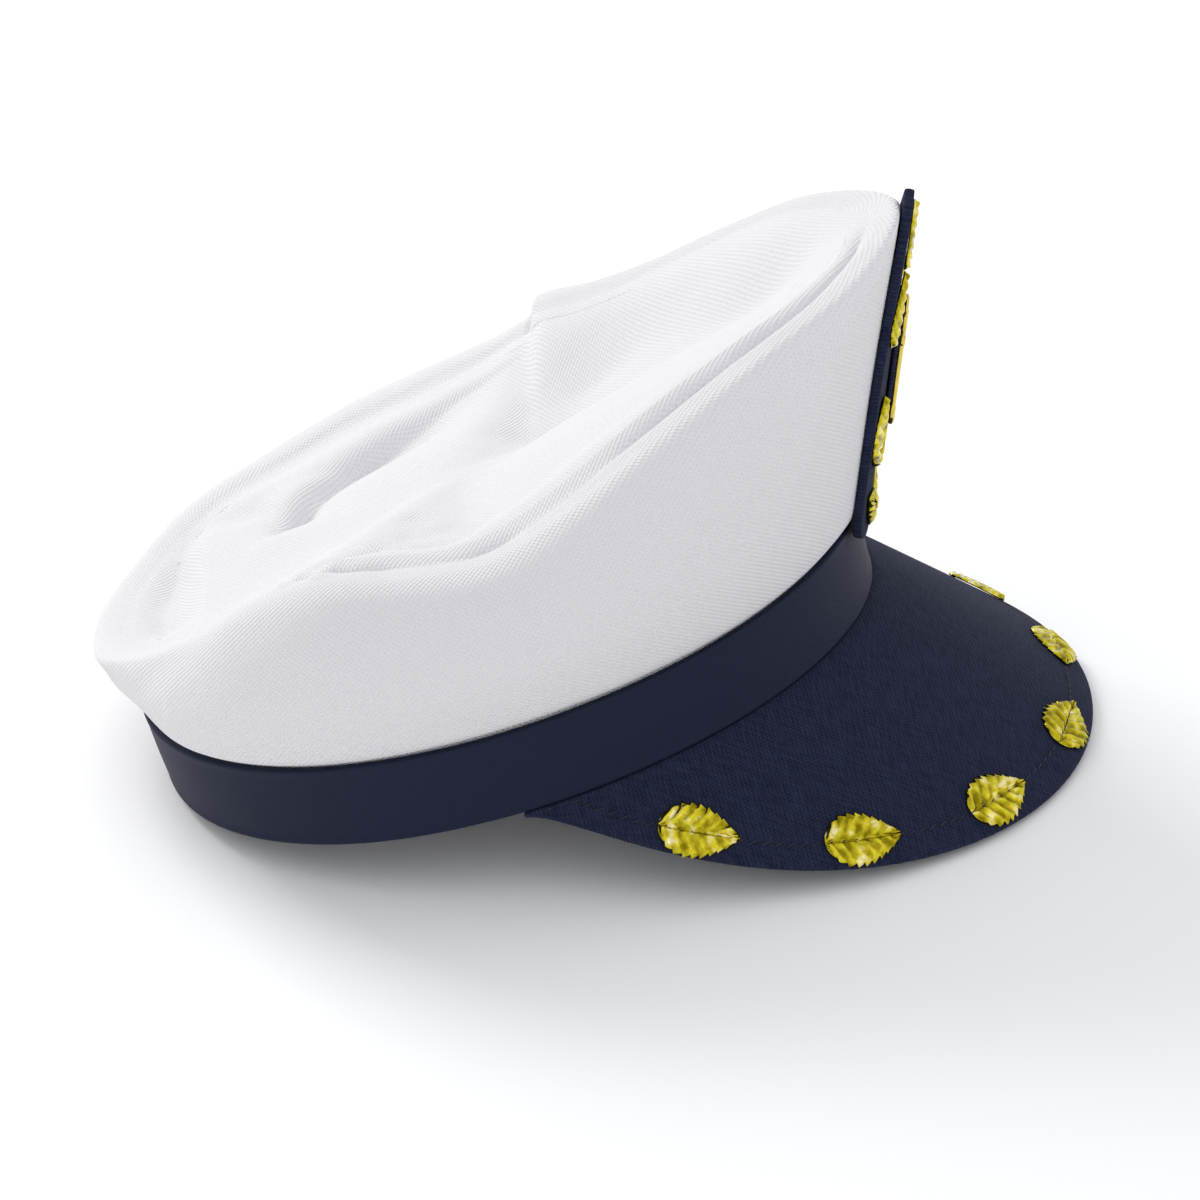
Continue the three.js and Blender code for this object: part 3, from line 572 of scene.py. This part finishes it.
def peak_frame(u):
    u = np.asarray(u, float)
    x, y = band_line(u * PEAK_REACH)
    edge = np.stack([x, y, np.full_like(x, -GAP)], -1)
    slope = edge - APEX
    slope /= np.linalg.norm(slope, axis=-1, keepdims=True)
    flat = slope * np.array([1, 1, 0])
    flat /= np.linalg.norm(flat, axis=-1, keepdims=True)
    width = PEAK_END + PEAK_WIDE * (1 - np.abs(u) ** PEAK_TAPER) ** PEAK_CLOSE
    return edge, slope, flat, width


def peak_point(u, across, lift):
    edge, slope, flat, _ = peak_frame(u)
    across, lift = np.asarray(across, float)[..., None], np.asarray(lift, float)[..., None]
    level = np.hypot(slope[..., 0], slope[..., 1])[..., None]
    up = np.concatenate([flat[..., :2] * -slope[..., 2:], level], -1)
    return edge + slope * across + up * lift


u = np.linspace(-1, 1, ALONG_PEAK)
u = np.sign(u) * np.abs(u) ** 0.9
edge, slope, flat, width = peak_frame(u)
thick = PEAK_THICK * (PEAK_THIN + (1 - PEAK_THIN) * smooth((1 - np.abs(u)) / 0.2))
half = thick / 2
round_in = np.minimum(half, width * 0.4)
inward = np.linspace(0, 1, ACROSS_PEAK)
columns = [edge - flat * PEAK_TUCK]
for t in inward:
    columns.append(peak_point(u, (width - round_in) * t, 0 * u))
for k in range(1, EDGE_TURNS):
    turn = math.pi * k / EDGE_TURNS
    columns.append(peak_point(u, width - round_in + round_in * math.sin(turn), half * (math.cos(turn) - 1)))
for t in inward[::-1]:
    columns.append(peak_point(u, np.where(t == 0, -PEAK_UNDER * thick, (width - round_in) * t), -thick))
columns.append(columns[0] - thick[:, None] * np.array([0, 0, 1]))
if len(columns) % 2:
    columns.append((columns[-1] + columns[0]) / 2)
grid = np.stack(columns, 1)
threads = np.concatenate([grid, grid[:, :1]], 1)[..., :2]
peak = body_from("peak_cover", grid, navy_twill, threads, caps=True)
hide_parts("peak")

# Each leaf is pressed from gold foil, with a toothed edge, a groove along the middle where it is
# sewn down, and ribs that run out from it. Eight of them lie along the peak's row of stitches,
# with their tips to the front.
LEAF_LONG, LEAF_WIDE, TEETH, RIBS = 20.5, 14.6, 9, 6
LEAF_ROWS, LEAF_COLUMNS = 91, 25
LEAF_EDGE, LEAF_BULGE, RIB_HIGH, GROOVE_DEEP = 0.35, 0.6, 0.75, 0.7
LEAF_COUNT, LEAF_SPACING, STITCH_INSET = 8, 41.7, 8

# The foil is lemon gold, with painted shade that darkens it down in the pressed valleys, painted
# highlight glints, and the fine wrinkles that pressed foil has. The leaf's map carries how near to a
# rib's top each place is, and so sets the painted shade.
foil, tree, shader, add = new_material("gold_foil")
shader.inputs["Metallic"].default_value = 1.0
shader.inputs["Roughness"].default_value = 0.14
where = add("ShaderNodeTexCoord")
wrinkle = add("ShaderNodeTexNoise", in_Scale=300.0, in_Detail=3.0)
tree.links.new(where.outputs["Object"], wrinkle.inputs["Vector"])
pressed = add("ShaderNodeUVMap", uv_map="threads")
parts = add("ShaderNodeSeparateXYZ")
tree.links.new(pressed.outputs[0], parts.inputs[0])
uneven = add("ShaderNodeMapRange", in_1=0.35, in_2=0.65, in_3=-0.3, in_4=0.75)
tree.links.new(wrinkle.outputs[0], uneven.inputs[0])
# Painted shade: the colour runs from dark olive down in the rib valleys to bright gold on the ribs.
painted_rib_shade = add("ShaderNodeMath", operation="MULTIPLY_ADD", in_1=0.75, use_clamp=True)
tree.links.new(parts.outputs[0], painted_rib_shade.inputs[0])
tree.links.new(uneven.outputs[0], painted_rib_shade.inputs[2])
tint = add("ShaderNodeMix", data_type="RGBA", in_6=(0.24, 0.19, 0.003, 1), in_7=(0.74, 0.62, 0.03, 1))
tree.links.new(painted_rib_shade.outputs[0], tint.inputs[0])
# Painted highlight: pale pinkish-white glints laid into the foil's colour where the wrinkle noise is high.
painted_glint = add("ShaderNodeMapRange", in_1=0.58, in_2=0.74, in_3=0.0, in_4=0.8)
tree.links.new(wrinkle.outputs[0], painted_glint.inputs[0])
painted_highlight = add("ShaderNodeMix", data_type="RGBA", in_7=(1.0, 0.9, 0.6, 1))
tree.links.new(painted_glint.outputs[0], painted_highlight.inputs[0])
tree.links.new(tint.outputs[2], painted_highlight.inputs[6])
tree.links.new(painted_highlight.outputs[2], shader.inputs["Base Color"])
dimple = add("ShaderNodeBump", in_Strength=0.5, in_Distance=0.0004)
tree.links.new(wrinkle.outputs[0], dimple.inputs["Height"])
tree.links.new(dimple.outputs[0], shader.inputs["Normal"])


def leaf_piece(name, node, place, long=1.0, wide=1.0):
    t, w = np.meshgrid(np.linspace(0, 1, LEAF_ROWS), np.linspace(-1, 1, LEAF_COLUMNS), indexing="ij")
    out = np.abs(w)
    half = (LEAF_WIDE / 2) * np.sin(math.pi * t**0.68) ** 0.8 + 0.12
    tooth = 0.16 * ((t * (TEETH + 0.6)) % 1) * smooth(t / 0.05) * smooth((1 - t) / 0.04)
    across = w * half * (1 - tooth * out**4) * wide
    along = (t - 0.5 + 0.035 * out**1.5 * np.sin(math.pi * t)) * LEAF_LONG * long
    rib = np.abs(((t - 0.15 * out) * (RIBS + 0.6)) % 1 - 0.5) * 2
    body = (1 - out**3) * smooth(t / 0.06) * smooth((1 - t) / 0.05)
    groove = np.exp(-((w / 0.09) ** 2))
    lift = LEAF_EDGE + body * (LEAF_BULGE + RIB_HIGH * rib * (1 - groove) - GROOVE_DEEP * groove)
    top = place(along, across, GAP + 0.1 + lift)
    low = place(along, across, np.full_like(lift, GAP))
    grid = np.concatenate([top, low[:, ::-1]], 1)
    threads = np.zeros((LEAF_ROWS, 2 * LEAF_COLUMNS + 1, 2))
    # The rib height goes into the map, where it sets the foil's painted shade in the valleys.
    threads[:, :LEAF_COLUMNS, 0] = rib * (1 - groove)
    piece = body_from(name, grid, foil, threads, caps=True)
    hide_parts(node)


def over_peak(points, lift):
    from_apex = points - APEX
    heading = np.arctan2(-from_apex[..., 0], -from_apex[..., 1])
    low, high = -np.ones_like(heading), np.ones_like(heading)
    for _ in range(34):
        mid = (low + high) / 2
        slope = peak_frame(mid)[1]
        less = np.arctan2(-slope[..., 0], -slope[..., 1]) < heading
        low, high = np.where(less, mid, low), np.where(less, high, mid)
    edge, slope, _, _ = peak_frame(low)
    return peak_point(low, ((points - edge) * slope).sum(-1), lift)


fine = np.linspace(-0.985, 0.985, 2401)
row = peak_point(fine, np.maximum(peak_frame(fine)[3] - STITCH_INSET, 0.6), 0 * fine)
length = np.concatenate([[0], np.linalg.norm(np.diff(row, axis=0), axis=1).cumsum()])
length -= length[len(fine) // 2]


def on_row(distance):
    return np.array([np.interp(distance, length, row[:, c]) for c in range(3)])


for k in range(LEAF_COUNT):
    middle = (k - (LEAF_COUNT - 1) / 2) * LEAF_SPACING
    forward = -np.sign(middle)
    centre = on_row(middle)
    run = on_row(middle + forward) - centre
    run /= np.linalg.norm(run)
    slope = peak_frame(np.interp(middle, length, fine))[1]
    side = slope - run * slope.dot(run)
    side /= np.linalg.norm(side)

    def on_peak(along, across, lift):
        return over_peak(centre + run * along[..., None] - side * (across * forward)[..., None], lift)

    leaf_piece(f"foil_leaf_peak_{k + 1}", f"peak_leaf_{k + 1}", on_peak)

# One row of dark stitches runs along the whole peak and down the middle of every leaf, which it
# holds on. The stitches are one short thread, set out along the row by Geometry Nodes.
STITCH, STITCH_PITCH, THREAD = 2.8, 3.2, 0.42
ON_CLOTH, ON_LEAF = 0.12, 0.72
THREAD_TURNS, THREAD_SIDES, THREAD_TIP = 7, 8, 0.25
thread, tree, shader, add = new_material("dark_thread")
shader.inputs["Roughness"].default_value = 0.6
where = add("ShaderNodeTexCoord")
twist = add("ShaderNodeTexNoise", in_Scale=900.0)
tree.links.new(where.outputs["Object"], twist.inputs["Vector"])
tint = add("ShaderNodeMix", data_type="RGBA", in_6=(0.004, 0.005, 0.012, 1), in_7=(0.012, 0.014, 0.03, 1))
tree.links.new(twist.outputs[0], tint.inputs[0])
tree.links.new(tint.outputs[2], shader.inputs["Base Color"])

marks = np.arange(length[0] + 3, length[-1] - 3, STITCH_PITCH)
leaf_at = marks / LEAF_SPACING + (LEAF_COUNT - 1) / 2
off_leaf = np.abs(leaf_at - np.clip(np.round(leaf_at), 0, LEAF_COUNT - 1)) * LEAF_SPACING
lift = np.where(off_leaf < LEAF_LONG / 2, ON_LEAF, ON_CLOTH)
marks_u = np.interp(marks, length, fine)
row_at = np.maximum(peak_frame(marks_u)[3] - STITCH_INSET, 0.6)
spots = laid(peak_point(marks_u, row_at, lift))
ahead = laid(peak_point(np.interp(marks + 1, length, fine), row_at, lift))
path = bpy.data.meshes.new("stitch_spots")
path.from_pydata(spots.tolist(), [], [])
heading = path.attributes.new("heading", "FLOAT_VECTOR", "POINT")
heading.data.foreach_set("vector", (ahead - spots).astype(np.float32).ravel())
stitches = bpy.data.objects.new("peak_stitches", path)
bpy.context.scene.collection.objects.link(stitches)

nodes = bpy.data.node_groups.new("stitch row", "GeometryNodeTree")
nodes.interface.new_socket("Geometry", in_out="INPUT", socket_type="NodeSocketGeometry")
for label in ("Stitch length", "Thread thickness"):
    nodes.interface.new_socket(label, in_out="INPUT", socket_type="NodeSocketFloat")
nodes.interface.new_socket("Geometry", in_out="OUTPUT", socket_type="NodeSocketGeometry")
start = nodes.nodes.new("NodeGroupInput")
end = nodes.nodes.new("NodeGroupOutput")
straight = nodes.nodes.new("GeometryNodeCurvePrimitiveLine")
straight.mode = "DIRECTION"
straight.inputs["Direction"].default_value = (0, 0, 1)
nodes.links.new(start.outputs["Stitch length"], straight.inputs["Length"])
finer = nodes.nodes.new("GeometryNodeResampleCurve")
finer.inputs["Count"].default_value = THREAD_TURNS
nodes.links.new(straight.outputs[0], finer.inputs["Curve"])
factor = nodes.nodes.new("GeometryNodeSplineParameter")
belly = nodes.nodes.new("ShaderNodeFloatCurve")
points = belly.mapping.curves[0].points
points[0].location = (0, THREAD_TIP)
points[1].location = (1, THREAD_TIP)
points.new(0.2, 1)
points.new(0.8, 1)
belly.mapping.update()
nodes.links.new(factor.outputs["Factor"], belly.inputs["Value"])
taper = nodes.nodes.new("GeometryNodeSetCurveRadius")
nodes.links.new(finer.outputs[0], taper.inputs["Curve"])
nodes.links.new(belly.outputs[0], taper.inputs["Radius"])
ring = nodes.nodes.new("GeometryNodeCurvePrimitiveCircle")
ring.inputs["Resolution"].default_value = THREAD_SIDES
nodes.links.new(start.outputs["Thread thickness"], ring.inputs["Radius"])
tube = nodes.nodes.new("GeometryNodeCurveToMesh")
tube.inputs["Fill Caps"].default_value = True
nodes.links.new(taper.outputs[0], tube.inputs["Curve"])
nodes.links.new(ring.outputs[0], tube.inputs["Profile Curve"])
if "Scale" in tube.inputs:
    nodes.links.new(belly.outputs[0], tube.inputs["Scale"])
named = nodes.nodes.new("GeometryNodeInputNamedAttribute")
named.data_type = "FLOAT_VECTOR"
named.inputs["Name"].default_value = "heading"
point_along = nodes.nodes.new("FunctionNodeAlignRotationToVector")
nodes.links.new(named.outputs["Attribute"], point_along.inputs["Vector"])
spread = nodes.nodes.new("GeometryNodeInstanceOnPoints")
nodes.links.new(start.outputs["Geometry"], spread.inputs["Points"])
nodes.links.new(tube.outputs[0], spread.inputs["Instance"])
nodes.links.new(point_along.outputs[0], spread.inputs["Rotation"])
real = nodes.nodes.new("GeometryNodeRealizeInstances")
nodes.links.new(spread.outputs[0], real.inputs[0])
coat = nodes.nodes.new("GeometryNodeSetMaterial")
coat.inputs["Material"].default_value = thread
nodes.links.new(real.outputs[0], coat.inputs["Geometry"])
nodes.links.new(coat.outputs[0], end.inputs["Geometry"])
maker = stitches.modifiers.new("stitch row", "NODES")
maker.node_group = nodes
for item in nodes.interface.items_tree:
    if item.in_out == "INPUT" and item.name == "Stitch length":
        maker[item.identifier] = STITCH * MM
    if item.in_out == "INPUT" and item.name == "Thread thickness":
        maker[item.identifier] = THREAD / 2 * MM
bpy.context.view_layer.update()
made = bpy.data.meshes.new_from_object(stitches.evaluated_get(bpy.context.evaluated_depsgraph_get()))
stitches.modifiers.clear()
stitches.data = made
if not made.materials:
    made.materials.append(thread)
for face in made.polygons:
    face.use_smooth = True
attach(stitches, "root")

# The board in front is a stiff plate bent round the forehead and leaning forward, sewn to the
# band at its foot. The peak's cloth is drawn over it, and a narrow binding runs round its edge.
BOARD_HIGH, BOARD_WIDE, BOARD_WIDEST = 92, 20.8, 14
BINDING = (0.3, 0.5, 3.0)


def board_point(w, h, d):
    turn = np.asarray(w, float) / BOARD_BEND
    out = d * np.cos(turn) - BOARD_BEND * (1 - np.cos(turn))
    sine, cosine = math.sin(BOARD_LEAN), math.cos(BOARD_LEAN)
    return np.stack([
        (BOARD_BEND + d) * np.sin(turn),
        BOARD_FOOT_Y - h * sine - out * cosine,
        BOARD_FOOT_Z + h * cosine - out * sine,
    ], -1)


def board_half(h):
    h = np.asarray(h, float)
    down = np.clip((BOARD_WIDEST - h) / BOARD_WIDEST, 0, 1)
    up = np.clip((h - BOARD_WIDEST) / (BOARD_HIGH - BOARD_WIDEST), 0, 1)
    return BOARD_WIDE * np.where(h < BOARD_WIDEST, (1 - down**4) ** 0.25, (1 - up**3.4) ** 0.8)


# A cloth-covered plate with rounded edges. The binding is (how high, how soft, how wide).
def plate(name, low, high, half_width, near, far, binding, rows, across):
    h = low + (high - low) * (1 - np.cos(math.pi * np.linspace(0.012, 0.988, rows))) / 2
    h, s = np.meshgrid(h, np.sin(np.linspace(-1, 1, across) * math.pi / 2), indexing="ij")
    w = s * half_width(h)
    inset = half_width(h) * (1 - np.abs(s))
    inset = np.minimum(inset, np.minimum(h - low, (high - h) * 0.6) + 0.4)
    round_off = np.sqrt(np.clip(1 - (1 - np.clip(inset / 0.9, 0, 1)) ** 2, 0, 1))
    raised, soft, wide = binding
    raised = raised * smooth(inset / soft) * smooth((wide - inset) / 0.6)
    body = (far - near) / 2
    top = board_point(w, h, near + body + body * round_off + raised)
    under = board_point(w, h, near + body - body * round_off)
    grid = np.concatenate([top, under[:, ::-1]], 1)
    flat = np.stack([w, h], -1)
    threads = np.concatenate([flat, flat[:, ::-1], flat[:, :1]], 1)
    piece = body_from(name, grid, navy_twill, threads, caps=True)
    return piece


board = plate("front_board_cover", 0, BOARD_HIGH, board_half, -BOARD_THICK, 0, BINDING, 90, 41)
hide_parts("front_board")

# Seven more foil leaves are sewn to the board as a wreath: three up each side and one at the top.
# For each: how far across and up its middle is, how it is turned, and its size beside a peak leaf.
WREATH = [(-9.6, 8.6, -0.9, 0.8, 0.66), (-13.6, 31.5, -0.06, 0.98, 0.84), (-11, 64, 0.47, 0.95, 0.62),
          (0, 80, 0, 0.92, 0.66), (11, 64, -0.47, 0.95, 0.62), (13.6, 31.5, 0.06, 0.98, 0.84),
          (9.6, 8.6, 0.9, 0.8, 0.66)]
for k, (w, h, turn, long, wide) in enumerate(WREATH):

    def on_board(along, across, lift):
        return board_point(w + along * math.sin(turn) + across * math.cos(turn),
                           h + along * math.cos(turn) - across * math.sin(turn), lift)

    leaf_piece(f"foil_leaf_board_{k + 1}", f"board_leaf_{k + 1}", on_board, long, wide)

# Under the anchor is a small padded patch of the same cloth, an upright oval with a raised rim of
# its own. It is sewn flat onto the board.
PATCH_LOW, PATCH_HIGH, PATCH_WIDE, PATCH_ROUND, PATCH_THICK = 27.5, 66, 8.4, 2.3, 1
PATCH_RIM = (0.25, 0.5, 1.9)


def patch_half(h):
    t = np.abs(2 * (h - PATCH_LOW) / (PATCH_HIGH - PATCH_LOW) - 1)
    return PATCH_WIDE * np.maximum(1 - t**PATCH_ROUND, 0.0004) ** (1 / PATCH_ROUND)


patch = plate("badge_patch_cover", PATCH_LOW, PATCH_HIGH, patch_half, GAP, GAP + PATCH_THICK,
              PATCH_RIM, 60, 31)
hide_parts("badge_patch")

# The anchor is cast metal: a ring, a stock with knobs, a tapering shank and two arms with
# flukes, all rounded on top and flat behind. It is pinned to the patch.
ANCHOR_FOOT, ANCHOR_HIGH, ANCHOR_THICK, ANCHOR_RING, ANCHOR_ARMS = 29.5, 34.5, 1.2, 2.1, 6.4
RING_WIRE, STOCK_HALF, STOCK_AT = 0.7, 5.5, 0.7
FLUKE_LEAN, FLUKE_LONG, FLUKE_WIDE, FLUKE_BELOW = 0.35, 5.2, 2.2, 1.6
cast, tree, shader, add = new_material("gold_cast")
shader.inputs["Metallic"].default_value = 1.0
shader.inputs["Roughness"].default_value = 0.24
where = add("ShaderNodeTexCoord")
grain = add("ShaderNodeTexNoise", in_Scale=700.0, in_Detail=2.0)
tree.links.new(where.outputs["Object"], grain.inputs["Vector"])
tint = add("ShaderNodeMix", data_type="RGBA", in_6=(0.62, 0.46, 0.06, 1), in_7=(0.85, 0.68, 0.16, 1))
tree.links.new(grain.outputs[0], tint.inputs[0])
tree.links.new(tint.outputs[2], shader.inputs["Base Color"])
pits = add("ShaderNodeBump", in_Strength=0.3, in_Distance=0.0001)
tree.links.new(grain.outputs[0], pits.inputs["Height"])
tree.links.new(pits.outputs[0], shader.inputs["Normal"])


def rod(points, radii, sides=14):
    """A round bar along flat points, each ring squashed to the casting's thickness."""
    p = np.asarray(points, float)
    run = np.gradient(p, axis=0)
    run /= np.linalg.norm(run, axis=1, keepdims=True)
    across = np.stack([-run[:, 1], run[:, 0]], -1)
    turn = np.arange(sides) / sides * 2 * math.pi
    flat = p[:, None] + across[:, None] * (np.cos(turn) * radii[:, None])[..., None]
    thick = np.sin(turn) * np.minimum(radii, 0.95)[:, None]
    return np.concatenate([flat, thick[..., None]], -1)


verts, faces = [], []


def cast_on(tube, closed=False):
    rows, sides = tube.shape[:2]
    first = len(verts)
    verts.extend(tube.reshape(-1, 3).tolist())
    for i in range(rows if closed else rows - 1):
        for j in range(sides):
            a, b = i * sides, ((i + 1) % rows) * sides
            k = (j + 1) % sides
            faces.append([first + v for v in (a + j, a + k, b + k, b + j)])
    if not closed:
        faces.append([first + v for v in range(sides)][::-1])
        faces.append([first + (rows - 1) * sides + v for v in range(sides)])


def knob(x, y, radius):
    t = np.linspace(0.02, 0.98, 12)
    line = np.stack([np.full(12, x), y - radius * np.cos(math.pi * t)], -1)
    cast_on(rod(line, radius * np.sin(math.pi * t)))


ring_middle = ANCHOR_HIGH - ANCHOR_RING - 0.75
angle = np.arange(40)[:, None] / 40 * 2 * math.pi
turn = np.arange(12)[None] / 12 * 2 * math.pi
reach = ANCHOR_RING + RING_WIRE * np.cos(turn)
cast_on(np.stack([
    reach * np.cos(angle), ring_middle + reach * np.sin(angle), 0.6 * np.sin(turn) + 0 * angle,
], -1), closed=True)
t = np.linspace(0, 1, 24)
shank_top = ring_middle - ANCHOR_RING
cast_on(rod(np.stack([0 * t, 0.4 + (shank_top - 0.4) * t], -1), 1.35 - 0.35 * t))
stock = ANCHOR_HIGH * STOCK_AT
stock_line = np.stack([STOCK_HALF * (2 * t - 1), 0 * t + stock], -1)
cast_on(rod(stock_line, 0.8 + 0.35 * np.abs(np.cos(math.pi * t))))
for x, radius in ((-STOCK_HALF, 1.5), (STOCK_HALF, 1.5), (0, 1.8)):
    knob(x, stock, radius)
knob(0, shank_top - 0.2, 1.25)
sweep = np.pi * (1.06 + 0.88 * t)
arms = np.stack([ANCHOR_ARMS * np.cos(sweep), ANCHOR_ARMS + ANCHOR_ARMS * np.sin(sweep)], -1)
cast_on(rod(arms, 0.55 + 0.75 * np.sin(math.pi * t) ** 0.6))
for side in (-1, 1):
    s = np.linspace(0, 1, 14)
    tip = np.array([side * ANCHOR_ARMS * 0.93, ANCHOR_ARMS * 0.74])
    lean = side * FLUKE_LEAN
    up = s * FLUKE_LONG - FLUKE_BELOW
    line = tip + np.stack([np.sin(lean) * up, np.cos(lean) * up], -1)
    cast_on(rod(line, np.maximum(FLUKE_WIDE * (1 - s) * smooth(s / 0.12 + 0.2), 0.12)))
flat = np.array(verts)
lift = GAP * 2 + PATCH_THICK + ANCHOR_THICK * 0.5 + flat[:, 2] * 0.95
bent = laid(board_point(flat[:, 0], ANCHOR_FOOT + flat[:, 1], lift))
mesh = bpy.data.meshes.new("anchor_cast")
mesh.from_pydata(bent.tolist(), [], faces)
for face in mesh.polygons:
    face.use_smooth = True
mesh.materials.append(cast)
anchor = bpy.data.objects.new("anchor_cast", mesh)
bpy.context.scene.collection.objects.link(anchor)
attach(anchor, "root")
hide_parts("anchor_badge")
